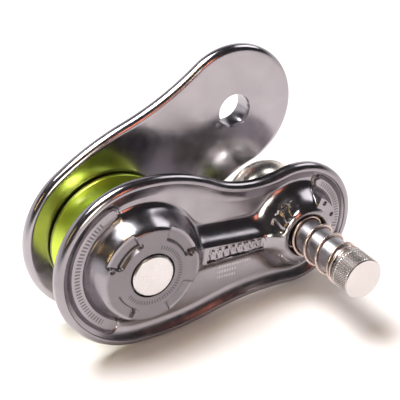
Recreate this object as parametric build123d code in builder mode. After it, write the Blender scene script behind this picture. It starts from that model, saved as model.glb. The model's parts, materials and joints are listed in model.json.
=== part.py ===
from build123d import *
import os
from math import acos, asin, atan2, cos, degrees, hypot, radians, sin

os.makedirs("parts", exist_ok=True)

# Rope pulley block with one swinging cheek, standing open with its locking pin out.
# Origin at the centre of the sheave, sheave axle along Y, front cheek towards -Y,
# locking pin towards +X, +Z up. Millimetres and degrees.

# ---------------------------------------------------------------- driving dimensions

# cheeks
axle_to_pin = 100.0          # sheave axle to locking pin
sheave_lobe_r = 51.35        # outer edge round the sheave
waisted_edge = (95.6, 86.7, 60.0)    # lobe ends at this angle, then flank radius, waist radius
straight_edge = (90.4, 172.0, 164.0)
cheek_t = 8.24               # thickness at the rim
rim_round = 3.7              # rounding of the rim, inside and outside
rim_w = 4.6                  # width of the rim before the hollow starts
hollow_slope = 5.6           # width of the hollow's sloping wall
hollow_depth = 4.0
pin_hollow_w = 2.0           # flat floor between the pin boss and the hollow's wall
cheek_gap = 33.3             # between the inner faces of the cheeks
open_angle = 37.2            # rear cheek above the front cheek, as it stands

# bosses and neck of a cheek, heights above the rim's outer face
sheave_boss_h = 11.0
sheave_boss_r = 28.0         # flat top
sheave_boss_foot_r = 35.0
pin_boss_wall = 4.0          # boss top round the spring's pocket
pin_boss_slope_w = 10.0      # boss foot beyond its top
front_pin_boss_h = 12.0
rear_pin_boss_h = 5.0
neck_h = 6.3
neck_half_w = (6.5, 5.2)     # half width of the top, at the sheave end and the pin end
neck_spread = 6.5            # how much wider each side is at its foot
boss_edge_round = 2.0
neck_drop = 1.0              # neck's top below the rounding of a low boss, at least

# marking pads and shallow pockets of the front cheek
pad_h = 0.8
pad_w = 7.0
sheave_pad_r = 38.6
sheave_pad_span = (116.0, 244.0)
pin_pad_r = 29.2
pin_pad_span = (-25.0, 62.0)
boss_pockets = ((20.0, 67.0), (113.0, 158.0), (-157.0, -118.0), (-66.0, -24.0))
boss_pocket_r = 21.2
boss_pocket_depth = 1.4
plate_recess_depth = 0.5     # blank name plate on the neck
plate_recess = (36.0, 72.0, 3.9, 3.3)    # from, to, half width at the sheave end, at the pin end

# axle
axle_r = 10.0
axle_head_lip = 2.3          # head beyond the axle's side
axle_head_proud = 1.0
axle_head_gap = 1.0          # open ring round the head
axle_head_depth = 6.0        # the head's seat, below the boss top
axle_chamfer = 0.6
hinge_bush_wall = 2.5
washer_pocket_lip = 3.5      # round hole in the rear boss for the washers and the ring, beyond the bush
washer_pocket_depth = 5.8
washer_t = 1.5
friction_washer_t = 0.8
retaining_ring_t = 1.1
ring_groove_depth = 0.9
washer_rim = 1.0             # each outer washer is this much smaller than the last
ring_opening = (75.0, 105.0)
axle_end_inset = 0.3         # axle end below the top of the rear boss

# sheave and bearing
sheave_r = 37.7
sheave_w = 29.9
rope_d = 19.0
groove_slack = 0.7           # groove radius over the rope's radius
groove_root_r = 26.5
groove_half_angle = 60.0
lip_round = 0.9
lip_land_min = 1.9           # flat left on top of each lip, at least
race_inner_wall = 2.9
roller_r = 2.5
roller_count = 12
roller_end_room = 2.0        # cage beyond each end of the rollers
race_outer_wall = 3.0
cage_wall = 2.4
cage_inset = 1.0             # cage end below the end of the outer ring
seal_t = 1.8
seal_inset = 1.11            # seal's face below the side of the sheave
thrust_washer_inset = 0.5    # washer's edge inside the outer ring's

# locking pin, knob and spring
pin_r = 9.95
pin_travel = 38.0
knob_gap_locked = 2.4        # knob over the boss when the pin is locked
knob_lip = 2.15              # knob beyond the pin's side
knob_length = 12.5
knob_spigot_shoulder = 1.95  # knob's spigot inside the pin's side
knob_spigot_length = 9.0
knob_chamfer = 0.7
lug_r = 2.1
lug_length = 5.25            # lug beyond the pin's side
lug_root = 2.0
lug_end_round = 1.9
tip_past_lug = 3.4
tip_chamfer = 1.2
spring_wire_r = 0.75
spring_room = 0.5            # coil round the pin, per side
spring_turns = 5.0
spring_pocket_room = 1.05    # pocket round the coil, per side
spring_pocket_floor = 8.0    # above the cheek's inner face
seat_t = 1.0
follower_t = 1.0

# attachment bush, a spool that a sling lies round
bush_wall = 3.0              # waist of the bush outside the lug's room
bush_flange_w = 6.3          # flange beyond the waist
bush_straight = 14.0
bush_lip = 1.6
spigot_wall = 1.0            # spigot beyond the spring's pocket
spigot_length = 7.0
dowel_r = 1.5
dowel_length = 6.0
dowel_past_lug = 4.3         # dowel's centre beyond the lug's tip
bush_end_gap = 0.3           # between the bush and the closed rear cheek

# clearances
turn_fit = 0.05              # hinge bush on the axle, per side
press_gap = 0.02             # pressed and seated pieces, per side
roll_gap = 0.04
face_gap = 0.1               # faces that turn on each other
slide_fit = 0.2              # pin in its bores, per side
keyhole_gap = 0.3            # pin in the rear cheek's keyhole, per side
lug_gap = 0.3
cage_gap = 0.15

# ---------------------------------------------------------------- worked-out places

half_gap = cheek_gap / 2
floor_t = cheek_t - hollow_depth

# radii that follow the axle
axle_head_r = axle_r + axle_head_lip
hinge_bush_r = axle_r + hinge_bush_wall
washer_pocket_r = hinge_bush_r + washer_pocket_lip

# radii that follow the pin
spring_mean_r = pin_r + spring_room + spring_wire_r
spring_pocket_r = spring_mean_r + spring_wire_r + spring_pocket_room
pin_boss_r = spring_pocket_r + pin_boss_wall
pin_boss_foot_r = pin_boss_r + pin_boss_slope_w
spigot_r = spring_pocket_r + spigot_wall
knob_r = pin_r + knob_lip
knob_spigot_r = pin_r - knob_spigot_shoulder
lug_reach = pin_r + lug_length
bush_r = lug_reach + lug_gap + bush_wall
bush_flange_r = bush_r + bush_flange_w
dowel_at_r = lug_reach + dowel_past_lug

# the cheek's lobe round the pin, and how far the block leans as it stands on both lobes
pin_lobe_r = pin_boss_foot_r + pin_hollow_w + hollow_slope + rim_w
tilt = degrees(asin((sheave_lobe_r - pin_lobe_r) / axle_to_pin))
rise = open_angle - tilt
pin_x = axle_to_pin * cos(radians(tilt))
pin_z = -axle_to_pin * sin(radians(tilt))
pin_point = (pin_x, 0, pin_z)

# A cheek is drawn flat: x from the axle to the pin, z away from its inner face.
front_frame = Plane(origin=(0, -half_gap, 0), z_dir=(0, -1, 0),
                    x_dir=(cos(radians(tilt)), 0, -sin(radians(tilt))))
rear_frame = Plane(origin=(0, half_gap, 0), z_dir=(0, 1, 0),
                   x_dir=(cos(radians(rise)), 0, sin(radians(rise))))


def front_y(height):
    # y of a height above the front cheek's inner face
    return -half_gap - height


def rear_y(height):
    return half_gap + height


sheave_boss_top = cheek_t + sheave_boss_h
front_pin_top = cheek_t + front_pin_boss_h
rear_pin_top = cheek_t + rear_pin_boss_h

# ---------------------------------------------------------------- shared shapes


def edge_arcs(edge, side, inset):
    # flank arc and waist arc of one long edge of a cheek, moved in by inset
    lobe_end, flank_r, waist_r = edge
    flank_x = -(flank_r - sheave_lobe_r) * cos(radians(lobe_end))
    flank_z = -(flank_r - sheave_lobe_r) * sin(radians(lobe_end))
    reach = flank_r + waist_r
    pin_reach = pin_lobe_r + waist_r
    span = hypot(axle_to_pin - flank_x, flank_z)
    lean = atan2(-flank_z, axle_to_pin - flank_x)
    corner = acos((reach**2 + span**2 - pin_reach**2) / (2 * reach * span))
    flank_turn = degrees(lean + corner)
    waist_x = flank_x + reach * cos(radians(flank_turn))
    waist_z = flank_z + reach * sin(radians(flank_turn))
    pin_turn = degrees(atan2(waist_z, waist_x - axle_to_pin))
    CenterArc((flank_x, side * flank_z), flank_r - inset,
              side * flank_turn, side * (lobe_end - flank_turn))
    CenterArc((waist_x, side * waist_z), waist_r + inset,
              side * (flank_turn + 180), side * (pin_turn - flank_turn))
    return pin_turn


def cheek_outline(inset):
    # figure-of-eight face of a cheek: one waisted edge, one nearly straight edge
    with BuildSketch() as outline:
        with BuildLine():
            waisted_turn = edge_arcs(waisted_edge, 1, inset)
            straight_turn = edge_arcs(straight_edge, -1, inset)
            CenterArc((0, 0), sheave_lobe_r - inset, waisted_edge[0],
                      360 - waisted_edge[0] - straight_edge[0])
            CenterArc((axle_to_pin, 0), pin_lobe_r - inset, -straight_turn,
                      waisted_turn + straight_turn)
        make_face()
    return outline.sketch


def ring_sector(inner_r, outer_r, span):
    # flat sector of a ring, between two angles
    start, end = span
    with BuildSketch() as sector:
        with BuildLine():
            outer = CenterArc((0, 0), outer_r, start, end - start)
            inner = CenterArc((0, 0), inner_r, start, end - start)
            Line(outer @ 0, inner @ 0)
            Line(outer @ 1, inner @ 1)
        make_face()
    return sector.sketch


def arc_pad(centre_x, mean_r, span):
    # banana-shaped pad with round ends
    start, end = span
    with BuildSketch() as pad:
        with Locations((centre_x, 0)):
            SlotArc(CenterArc((0, 0), mean_r, start, end - start), pad_w)
    return pad.sketch


def turned(profile, centre=(0, 0, 0)):
    # solid turned about the Y line through centre; corners are (radius, y)
    with BuildPart() as body:
        with BuildSketch(Plane(origin=centre, x_dir=(1, 0, 0), z_dir=(0, 0, 1))):
            with BuildLine():
                Polyline(*profile, close=True)
            make_face()
        revolve(axis=Axis(centre, (0, 1, 0)))
    return body.part


def ring(inner_r, outer_r, y_start, y_end, centre=(0, 0, 0)):
    return turned([(inner_r, y_start), (outer_r, y_start), (outer_r, y_end), (inner_r, y_end)],
                  centre)


def cheek_blank(frame, pin_boss_h):
    # forged cheek before its holes: rounded rim, hollow, two bosses and a neck between them
    boss_axis = Axis(frame.origin, frame.z_dir)
    with BuildPart() as blank:
        with BuildSketch(frame):
            add(cheek_outline(0))
        extrude(amount=cheek_t)
        inner_face = blank.faces().sort_by(boss_axis)[0]
        outer_face = blank.faces().sort_by(boss_axis)[-1]
        fillet(inner_face.edges() + outer_face.edges(), rim_round)
        with BuildSketch(frame.offset(cheek_t)):
            add(cheek_outline(rim_w))
        with BuildSketch(frame.offset(floor_t)):
            add(cheek_outline(rim_w + hollow_slope))
        loft(ruled=True, mode=Mode.SUBTRACT)
        with BuildSketch(frame.offset(floor_t)):
            Polygon((0, neck_half_w[0] + neck_spread), (0, -neck_half_w[0] - neck_spread),
                    (axle_to_pin, -neck_half_w[1] - neck_spread),
                    (axle_to_pin, neck_half_w[1] + neck_spread), align=None)
        with BuildSketch(frame.offset(cheek_t + min(neck_h, pin_boss_h - boss_edge_round - neck_drop))):
            Polygon((0, neck_half_w[0]), (0, -neck_half_w[0]),
                    (axle_to_pin, -neck_half_w[1]), (axle_to_pin, neck_half_w[1]), align=None)
        loft(ruled=True)
        for centre_x, foot_r, top_r, height in (
                (0, sheave_boss_foot_r, sheave_boss_r, sheave_boss_h),
                (axle_to_pin, pin_boss_foot_r, pin_boss_r, pin_boss_h)):
            with BuildSketch(frame.offset(floor_t)):
                with Locations((centre_x, 0)):
                    Circle(foot_r)
            with BuildSketch(frame.offset(cheek_t + height)):
                with Locations((centre_x, 0)):
                    Circle(top_r)
            loft()
        tops = blank.edges().filter_by(GeomType.CIRCLE).filter_by(
            lambda edge: min(abs(edge.radius - sheave_boss_r), abs(edge.radius - pin_boss_r)) < 0.01)
        fillet(tops, boss_edge_round)
    return blank.part


# ---------------------------------------------------------------- cheeks

with BuildPart() as front_cheek:
    add(cheek_blank(front_frame, front_pin_boss_h))
    # marking pads, left blank
    with BuildSketch(front_frame.offset(floor_t)):
        add(arc_pad(0, sheave_pad_r, sheave_pad_span))
        add(arc_pad(axle_to_pin, pin_pad_r, pin_pad_span))
    extrude(amount=pad_h)
    # four shallow pockets at the edge of the sheave boss
    with BuildSketch(front_frame.offset(sheave_boss_top)):
        for span in boss_pockets:
            add(ring_sector(boss_pocket_r, sheave_boss_foot_r, span))
    extrude(amount=-boss_pocket_depth, mode=Mode.SUBTRACT)
    # blank name plate
    plate_start, plate_end, plate_wide, plate_narrow = plate_recess
    with BuildSketch(front_frame.offset(cheek_t + neck_h)):
        Polygon((plate_start, plate_wide), (plate_start, -plate_wide),
                (plate_end, -plate_narrow), (plate_end, plate_narrow), align=None)
    extrude(amount=-plate_recess_depth, mode=Mode.SUBTRACT)
    # axle bore and the seat of its head
    with BuildSketch(front_frame):
        Circle(axle_r + press_gap)
    extrude(amount=sheave_boss_top, mode=Mode.SUBTRACT)
    with BuildSketch(front_frame.offset(sheave_boss_top)):
        Circle(axle_head_r + axle_head_gap)
    extrude(amount=-axle_head_depth, mode=Mode.SUBTRACT)
    # pin bore, spring pocket, spigot bore and dowel hole
    with BuildSketch(front_frame):
        with Locations((axle_to_pin, 0)):
            Circle(pin_r + slide_fit)
    extrude(amount=front_pin_top, mode=Mode.SUBTRACT)
    with BuildSketch(front_frame.offset(spring_pocket_floor)):
        with Locations((axle_to_pin, 0)):
            Circle(spring_pocket_r)
    extrude(amount=front_pin_top - spring_pocket_floor, mode=Mode.SUBTRACT)
    with BuildSketch(front_frame):
        with Locations((axle_to_pin, 0)):
            Circle(spigot_r + press_gap)
    extrude(amount=spigot_length, mode=Mode.SUBTRACT)
    with BuildSketch(front_frame):
        with Locations((axle_to_pin + dowel_at_r, 0)):
            Circle(dowel_r + press_gap)
    extrude(amount=dowel_length / 2, mode=Mode.SUBTRACT)
front_cheek.part.label = "front_cheek"

bush_seat = sheave_boss_top - washer_pocket_depth

with BuildPart() as rear_cheek:
    add(cheek_blank(rear_frame, rear_pin_boss_h))
    with BuildSketch(rear_frame):
        Circle(hinge_bush_r + press_gap)
    extrude(amount=bush_seat, mode=Mode.SUBTRACT)
    with BuildSketch(rear_frame.offset(sheave_boss_top)):
        Circle(washer_pocket_r)
    extrude(amount=-washer_pocket_depth, mode=Mode.SUBTRACT)
    # keyhole: the pin's bore, with a round-ended notch for the lug, towards the sheave
    with BuildSketch(rear_frame):
        with Locations((axle_to_pin, 0)):
            Circle(pin_r + keyhole_gap)
        with Locations((axle_to_pin - lug_reach / 2, 0)):
            SlotOverall(lug_reach + 2 * lug_gap, 2 * (lug_r + lug_gap))
    extrude(amount=rear_pin_top, mode=Mode.SUBTRACT)
rear_cheek.part.label = "rear_cheek"

# ---------------------------------------------------------------- axle and its fittings

head_seat_y = front_y(sheave_boss_top - axle_head_depth)
head_face_y = front_y(sheave_boss_top + axle_head_proud)
washer_y = rear_y(bush_seat) + face_gap
friction_y = washer_y + washer_t + face_gap
snap_y = friction_y + friction_washer_t + face_gap
axle_end_y = rear_y(sheave_boss_top) - axle_end_inset
groove_r = axle_r - ring_groove_depth

with BuildPart() as axle:
    add(turned([(0, head_face_y), (axle_head_r - axle_chamfer, head_face_y),
                (axle_head_r, head_face_y + axle_chamfer), (axle_head_r, head_seat_y),
                (axle_r, head_seat_y), (axle_r, snap_y - roll_gap),
                (groove_r, snap_y - roll_gap), (groove_r, snap_y + retaining_ring_t + roll_gap),
                (axle_r, snap_y + retaining_ring_t + roll_gap),
                (axle_r, axle_end_y - axle_chamfer), (axle_r - axle_chamfer, axle_end_y),
                (0, axle_end_y)]))
axle.part.label = "axle"

with BuildPart() as hinge_bush:
    add(ring(axle_r + turn_fit, hinge_bush_r, rear_y(0), rear_y(bush_seat)))
hinge_bush.part.label = "hinge_bush"

with BuildPart() as axle_washer:
    add(ring(axle_r + slide_fit, washer_pocket_r - washer_rim, washer_y, washer_y + washer_t))
axle_washer.part.label = "axle_washer"

with BuildPart() as friction_washer:
    add(ring(axle_r + slide_fit, washer_pocket_r - 2 * washer_rim,
             friction_y, friction_y + friction_washer_t))
friction_washer.part.label = "friction_washer"

ring_outer_r = washer_pocket_r - 3 * washer_rim
with BuildPart() as retaining_ring:
    add(ring(groove_r + press_gap, ring_outer_r, snap_y, snap_y + retaining_ring_t))
    with BuildSketch(Plane(origin=(0, snap_y, 0), x_dir=(1, 0, 0), z_dir=(0, 1, 0))):
        add(ring_sector(groove_r / 2, ring_outer_r * 2, ring_opening))
    extrude(amount=retaining_ring_t, mode=Mode.SUBTRACT)
retaining_ring.part.label = "retaining_ring"

# ---------------------------------------------------------------- sheave and its bearing

race_inner_r = axle_r + press_gap + race_inner_wall
roller_circle_r = race_inner_r + roll_gap + roller_r
race_bore_r = roller_circle_r + roller_r + roll_gap
race_outer_r = race_bore_r + race_outer_wall
race_length = sheave_w - 2 * (seal_inset + seal_t + roll_gap)
cage_length = race_length - 2 * cage_inset
roller_length = cage_length - 2 * roller_end_room
thrust_washer_r = race_outer_r - thrust_washer_inset
sheave_bore_r = race_outer_r + press_gap
groove_arc_r = rope_d / 2 + groove_slack
half_w = sheave_w / 2

with BuildPart() as sheave:
    with BuildSketch(Plane.XY):
        with BuildLine():
            arc_x = groove_root_r + groove_arc_r
            bottom = CenterArc((arc_x, 0), groove_arc_r, 180 - groove_half_angle,
                               2 * groove_half_angle)
            flare_top = bottom @ 0
            flare_run = (sheave_r - flare_top.X) / sin(radians(groove_half_angle)) \
                * cos(radians(groove_half_angle))
            lip_y = min(flare_top.Y + flare_run, half_w - lip_land_min)
            Polyline(flare_top, (sheave_r, lip_y), (sheave_r, half_w), (sheave_bore_r, half_w),
                     (sheave_bore_r, -half_w), (sheave_r, -half_w), (sheave_r, -lip_y), bottom @ 1)
        make_face()
    revolve(axis=Axis.Y)
    lips = sheave.edges().filter_by(GeomType.CIRCLE).filter_by(
        lambda edge: abs(edge.radius - sheave_r) < 0.01)
    fillet(lips, lip_round)
sheave.part.label = "sheave"

with BuildPart() as bearing_inner_ring:
    add(ring(axle_r + press_gap, race_inner_r, -half_w, half_w))
bearing_inner_ring.part.label = "bearing_inner_ring"

with BuildPart() as bearing_outer_ring:
    add(ring(race_bore_r, race_outer_r, -race_length / 2, race_length / 2))
bearing_outer_ring.part.label = "bearing_outer_ring"

across_axle = Plane(origin=(0, -roller_length / 2, 0), x_dir=(1, 0, 0), z_dir=(0, 1, 0))
with BuildPart() as bearing_rollers:
    with BuildSketch(across_axle):
        with PolarLocations(roller_circle_r, roller_count):
            Circle(roller_r)
    extrude(amount=roller_length)
bearing_rollers.part.label = "bearing_rollers"

with BuildPart() as bearing_cage:
    add(ring(roller_circle_r - cage_wall / 2, roller_circle_r + cage_wall / 2,
             -cage_length / 2, cage_length / 2))
    with BuildSketch(across_axle.offset(-cage_gap)):
        with PolarLocations(roller_circle_r, roller_count):
            Circle(roller_r + cage_gap)
    extrude(amount=roller_length + 2 * cage_gap, mode=Mode.SUBTRACT)
bearing_cage.part.label = "bearing_cage"

seal_y = race_length / 2 + roll_gap
seal_inner_r = race_inner_r + turn_fit
with BuildPart() as bearing_seal_front:
    add(ring(seal_inner_r, race_outer_r, -seal_y - seal_t, -seal_y))
bearing_seal_front.part.label = "bearing_seal_front"

with BuildPart() as bearing_seal_rear:
    add(ring(seal_inner_r, race_outer_r, seal_y, seal_y + seal_t))
bearing_seal_rear.part.label = "bearing_seal_rear"

with BuildPart() as thrust_washer_front:
    add(ring(axle_r + slide_fit, thrust_washer_r, -half_gap + roll_gap, -half_w - face_gap))
thrust_washer_front.part.label = "thrust_washer_front"

with BuildPart() as thrust_washer_rear:
    add(ring(axle_r + slide_fit, thrust_washer_r, half_w + face_gap, half_gap - face_gap))
thrust_washer_rear.part.label = "thrust_washer_rear"

# ---------------------------------------------------------------- locking pin group

knob_back_y = front_y(front_pin_top) - knob_gap_locked - pin_travel
knob_face_y = knob_back_y - knob_length
lug_locked_y = rear_y(rear_pin_top) + lug_gap + lug_r
lug_y = lug_locked_y - pin_travel
tip_y = lug_y + tip_past_lug
lug_plane = Plane(origin=(pin_x, lug_y, pin_z), z_dir=(-cos(radians(tilt)), 0, sin(radians(tilt))))

with BuildPart() as locking_pin:
    add(turned([(0, knob_back_y - knob_spigot_length), (knob_spigot_r, knob_back_y - knob_spigot_length),
                (knob_spigot_r, knob_back_y), (pin_r, knob_back_y), (pin_r, tip_y - tip_chamfer),
                (pin_r - tip_chamfer, tip_y), (0, tip_y)], pin_point))
    with BuildSketch(lug_plane.offset(lug_root)):
        Circle(lug_r + press_gap)
    extrude(amount=pin_r, mode=Mode.SUBTRACT)
locking_pin.part.label = "locking_pin"

with BuildPart() as locking_lug:
    with BuildSketch(lug_plane.offset(lug_root)):
        Circle(lug_r)
    extrude(amount=lug_reach - lug_root)
    fillet(locking_lug.faces().sort_by(Axis(lug_plane.origin, lug_plane.z_dir))[-1].edges(), lug_end_round)
locking_lug.part.label = "locking_lug"

with BuildPart() as pin_knob:
    bore_r = knob_spigot_r + press_gap
    add(turned([(0, knob_face_y), (knob_r - knob_chamfer, knob_face_y),
                (knob_r, knob_face_y + knob_chamfer), (knob_r, knob_back_y - knob_chamfer),
                (knob_r - knob_chamfer, knob_back_y), (bore_r, knob_back_y),
                (bore_r, knob_back_y - knob_spigot_length - roll_gap),
                (0, knob_back_y - knob_spigot_length - roll_gap)], pin_point))
pin_knob.part.label = "pin_knob"

spring_end_r = spring_mean_r + spring_wire_r
follower_y = knob_back_y + face_gap
with BuildPart() as spring_follower:
    add(ring(pin_r + slide_fit, spring_end_r, follower_y, follower_y + follower_t, pin_point))
spring_follower.part.label = "spring_follower"

seat_y = front_y(spring_pocket_floor) - press_gap
with BuildPart() as spring_seat:
    add(ring(pin_r + slide_fit, spring_pocket_r - slide_fit, seat_y - seat_t, seat_y, pin_point))
spring_seat.part.label = "spring_seat"

spring_start_y = seat_y - seat_t - press_gap - spring_wire_r
spring_stop_y = follower_y + follower_t + press_gap + spring_wire_r
spring_length = spring_start_y - spring_stop_y
coil_path = Plane(origin=(pin_x, spring_start_y, pin_z), x_dir=(1, 0, 0), z_dir=(0, -1, 0)) * Helix(
    pitch=spring_length / spring_turns, height=spring_length, radius=spring_mean_r)
with BuildPart() as pin_spring:
    with BuildSketch(Plane(origin=coil_path @ 0, z_dir=coil_path % 0)):
        Circle(spring_wire_r)
    sweep(path=coil_path)
pin_spring.part.label = "pin_spring"

# ---------------------------------------------------------------- attachment bush

bush_end_y = half_gap - bush_end_gap
bush_bore_r = pin_r + slide_fit
keyway_r = lug_reach + lug_gap

with BuildPart() as attachment_bush:
    with BuildSketch(Plane(origin=pin_point, x_dir=(1, 0, 0), z_dir=(0, 0, 1))):
        with BuildLine():
            rear_flare_y = bush_end_y - bush_lip
            front_flare_y = -half_gap + bush_lip
            mid_y = bush_straight / 2
            Polyline((bush_r, mid_y), (bush_r, -mid_y))
            front_flare = TangentArc((bush_r, -mid_y), (bush_flange_r, front_flare_y), tangent=(0, -1))
            Polyline((bush_flange_r, front_flare_y), (bush_flange_r, -half_gap), (spigot_r, -half_gap),
                     (spigot_r, front_y(spigot_length - face_gap)),
                     (bush_bore_r, front_y(spigot_length - face_gap)), (bush_bore_r, bush_end_y),
                     (bush_flange_r, bush_end_y), (bush_flange_r, rear_flare_y))
            rear_flare = TangentArc((bush_r, mid_y), (bush_flange_r, rear_flare_y), tangent=(0, 1))
        make_face()
    revolve(axis=Axis(pin_point, (0, 1, 0)))
    # keyway for the lug, and the ring-shaped room where the lug may turn when the pin is out
    keyway_start = lug_y - lug_r - lug_gap
    keyway_plane = Plane(origin=(pin_x, keyway_start, pin_z), z_dir=(0, 1, 0),
                         x_dir=(-cos(radians(tilt)), 0, sin(radians(tilt))))
    with BuildSketch(keyway_plane):
        with Locations((keyway_r / 2, 0)):
            Rectangle(keyway_r, 2 * (lug_r + lug_gap))
    extrude(amount=bush_end_y - keyway_start, mode=Mode.SUBTRACT)
    with BuildSketch(keyway_plane):
        Circle(keyway_r)
    extrude(amount=2 * (lug_r + lug_gap), mode=Mode.SUBTRACT)
    with BuildSketch(front_frame):
        with Locations((axle_to_pin + dowel_at_r, 0)):
            Circle(dowel_r + press_gap)
    extrude(amount=-dowel_length / 2, mode=Mode.SUBTRACT)
attachment_bush.part.label = "attachment_bush"

with BuildPart() as bush_dowel:
    with BuildSketch(front_frame.offset(-dowel_length / 2 + press_gap)):
        with Locations((axle_to_pin + dowel_at_r, 0)):
            Circle(dowel_r)
    extrude(amount=dowel_length - 2 * press_gap)
bush_dowel.part.label = "bush_dowel"

# ---------------------------------------------------------------- files

pieces = [front_cheek, rear_cheek, axle, hinge_bush, axle_washer, friction_washer, retaining_ring,
          sheave, bearing_inner_ring, bearing_outer_ring, bearing_rollers, bearing_cage,
          bearing_seal_front, bearing_seal_rear, thrust_washer_front, thrust_washer_rear,
          locking_pin, locking_lug, pin_knob, spring_follower, spring_seat, pin_spring,
          attachment_bush, bush_dowel]
for piece in pieces:
    export_step(piece.part, f"parts/{piece.part.label}.step")
print(len(pieces), "pieces, tilt", round(tilt, 2), "pin at", round(pin_x, 2), round(pin_z, 2),
      "lug y", round(lug_y, 2), "knob face y", round(knob_face_y, 2))
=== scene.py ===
import json
from math import acos, asin, atan2, cos, hypot, pi, radians, sin, sqrt, tau

import bpy
import numpy as np
from mathutils import Matrix, Vector


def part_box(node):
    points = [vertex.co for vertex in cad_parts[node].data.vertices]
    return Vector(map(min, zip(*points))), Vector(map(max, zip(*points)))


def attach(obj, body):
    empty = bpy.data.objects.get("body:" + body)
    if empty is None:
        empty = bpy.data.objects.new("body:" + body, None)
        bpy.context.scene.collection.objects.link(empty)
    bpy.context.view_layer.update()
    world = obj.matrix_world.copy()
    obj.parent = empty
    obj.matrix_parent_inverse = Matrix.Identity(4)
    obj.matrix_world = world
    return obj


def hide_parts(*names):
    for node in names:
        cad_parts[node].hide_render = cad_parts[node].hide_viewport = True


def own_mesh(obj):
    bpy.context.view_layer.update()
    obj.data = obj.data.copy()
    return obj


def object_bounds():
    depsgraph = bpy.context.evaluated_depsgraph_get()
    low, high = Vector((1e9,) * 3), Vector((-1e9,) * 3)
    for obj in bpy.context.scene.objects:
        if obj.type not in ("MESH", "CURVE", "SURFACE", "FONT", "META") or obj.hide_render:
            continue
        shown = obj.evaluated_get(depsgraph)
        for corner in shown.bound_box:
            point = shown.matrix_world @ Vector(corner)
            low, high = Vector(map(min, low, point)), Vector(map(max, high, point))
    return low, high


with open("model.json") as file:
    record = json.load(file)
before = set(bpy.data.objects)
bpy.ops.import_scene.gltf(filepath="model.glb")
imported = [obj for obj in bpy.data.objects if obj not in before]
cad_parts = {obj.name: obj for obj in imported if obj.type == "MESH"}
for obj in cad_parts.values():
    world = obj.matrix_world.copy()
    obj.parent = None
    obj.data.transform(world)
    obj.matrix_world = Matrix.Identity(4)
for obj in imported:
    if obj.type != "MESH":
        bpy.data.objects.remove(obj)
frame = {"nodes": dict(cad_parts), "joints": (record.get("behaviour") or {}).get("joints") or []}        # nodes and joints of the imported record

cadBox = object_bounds()
mm = 0.001
scene = bpy.context.scene

# places that the rest is worked out from
joints = {joint["name"]: joint for joint in frame["joints"]}
pinPoint = Vector(joints["pin_twist"]["pos_m"])
openAngle = -radians(joints["cheek_swing"]["range_deg"][0])
tilt = atan2(-pinPoint.z, pinPoint.x)
rise = openAngle - tilt
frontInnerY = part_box("front_cheek")[1].y
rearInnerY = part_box("rear_cheek")[0].y
groundZ = cadBox[0][2]


def deselectAll():
    if bpy.context.object and bpy.context.object.mode != "OBJECT":
        bpy.ops.object.mode_set(mode="OBJECT")
    bpy.ops.object.select_all(action="DESELECT")


def makeActive(piece):
    deselectAll()
    piece.select_set(True)
    bpy.context.view_layer.objects.active = piece


def meshObject(name, points, edges=(), faces=()):
    mesh = bpy.data.meshes.new(name)
    mesh.from_pydata([tuple(p) for p in points], list(edges), list(faces))
    piece = bpy.data.objects.new(name, mesh)
    scene.collection.objects.link(piece)
    return piece


def outwardNormals(piece, mergeDistance=1e-6):
    makeActive(piece)
    bpy.ops.object.mode_set(mode="EDIT")
    bpy.ops.mesh.select_all(action="SELECT")
    bpy.ops.mesh.remove_doubles(threshold=mergeDistance)
    bpy.ops.mesh.normals_make_consistent(inside=False)
    bpy.ops.object.mode_set(mode="OBJECT")


def bevelCorners(piece, width, segments=2, angle=30):
    makeActive(piece)
    bevel = piece.modifiers.new("corners", "BEVEL")
    bevel.width = width * mm
    bevel.segments = segments
    bevel.limit_method = "ANGLE"
    bevel.angle_limit = radians(angle)
    bpy.ops.object.modifier_apply(modifier=bevel.name)


def smoothByAngle(piece, angle=32):
    makeActive(piece)
    bpy.ops.object.shade_smooth_by_angle(angle=radians(angle))


def spinProfile(name, profile, centre, steps=128, corner=0.3, segments=2):
    # profile is (radius, y) in millimetres, spun about the Y line through centre
    points = [(centre[0] + r * mm, y * mm, centre[2]) for r, y in profile]
    closed = profile[0][0] > 0
    edges = [(i, i + 1) for i in range(len(points) - 1)]
    if closed:
        edges.append((len(points) - 1, 0))
    piece = meshObject(name, points, edges)
    makeActive(piece)
    bpy.ops.object.mode_set(mode="EDIT")
    bpy.ops.mesh.select_all(action="SELECT")
    bpy.ops.mesh.spin(steps=steps, angle=tau, center=(centre[0], 0, centre[2]), axis=(0, 1, 0))
    bpy.ops.object.mode_set(mode="OBJECT")
    outwardNormals(piece)
    if corner:
        bevelCorners(piece, corner, segments)
    smoothByAngle(piece)
    return piece


def pointAt(radius, angle, middle=0):
    # point at an angle in degrees round (middle, 0)
    return middle + radius * cos(radians(angle)), radius * sin(radians(angle))


def finishPiece(piece, body, material, slot, *nodes):
    piece.data.materials.clear()
    piece.data.materials.append(material)
    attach(piece, body)
    if nodes:
        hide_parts(*nodes)


def newGroup(name, inputs, outputs):
    # inputs are named numbers and directions, outputs are plain values
    group = bpy.data.node_groups.new(name, "ShaderNodeTree")
    for label, value in inputs.items():
        kind = "NodeSocketVector" if isinstance(value, tuple) else "NodeSocketFloat"
        socket = group.interface.new_socket(name=label, in_out="INPUT", socket_type=kind)
        socket.default_value = value
    for label in outputs:
        group.interface.new_socket(name=label, in_out="OUTPUT", socket_type="NodeSocketFloat")
    given, result = group.nodes.new("NodeGroupInput"), group.nodes.new("NodeGroupOutput")
    return group, given.outputs, result.inputs


def addNode(tree, kind, **settings):
    node = tree.nodes.new(kind)
    for key, value in settings.items():
        setattr(node, key, value)
    return node


def mathNode(tree, operation, *values, clamp=False):
    node = addNode(tree, "ShaderNodeMath", operation=operation, use_clamp=clamp)
    for socket, value in zip(node.inputs, values):
        if isinstance(value, (int, float)):
            socket.default_value = value
        else:
            tree.links.new(value, socket)
    return node.outputs[0]


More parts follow.
